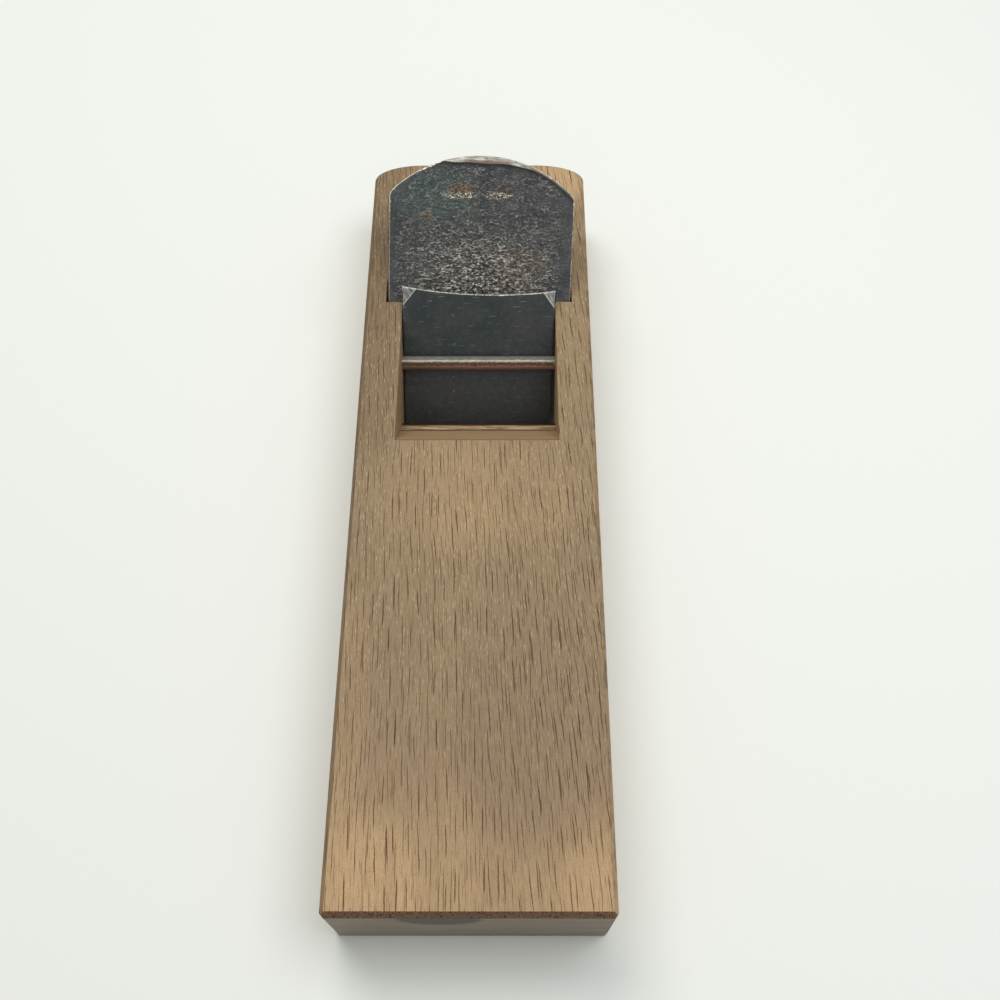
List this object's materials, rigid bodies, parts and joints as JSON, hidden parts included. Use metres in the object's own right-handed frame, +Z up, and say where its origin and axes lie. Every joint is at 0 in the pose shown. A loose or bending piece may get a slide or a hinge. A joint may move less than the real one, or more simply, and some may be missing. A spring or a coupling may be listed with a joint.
{
  "type": "japanese hand plane",
  "caption": "Wooden-bodied pull plane: oak block with a sloped throat, a wedge-shaped laminated blade, a laminated chipbreaker and a steel cross pin.",
  "frame": {"origin": "middle of the sole, at its lowest face", "axes": "+X across the block to the right as seen from the near end, +Y along the block towards the head end, +Z up"},
  "size_m": [0.08, 0.277, 0.0684],
  "materials": {
    "oak": "planed bare oak, oiled by handling, with the end grain sealed dark",
    "forged_iron": "hammered forge scale, worn bright on the arrises",
    "honed_steel": "ground and honed",
    "oxidised_iron": "smooth dark oxide with fine scratches",
    "worn_steel": "polished on top by shavings, a film of rust below"
  },
  "bodies": {
    "block": {"block": "oak", "cross_pin": "worn_steel"},
    "blade": {"blade_iron": "forged_iron", "blade_steel": "honed_steel"},
    "chipbreaker": {"chipbreaker_iron": "oxidised_iron", "chipbreaker_steel": "honed_steel"}
  },
  "joints": [
    {"name": "blade_slide", "type": "slide", "parent": "block", "child": "blade", "axis": [0, 0.766, 0.6428], "range_m": [-0.0006, 0.075]},
    {"name": "breaker_slide", "type": "slide", "parent": "blade", "child": "chipbreaker", "axis": [0, 0.7431, 0.6691], "range_m": [-0.0006, 0.065]}
  ]
}
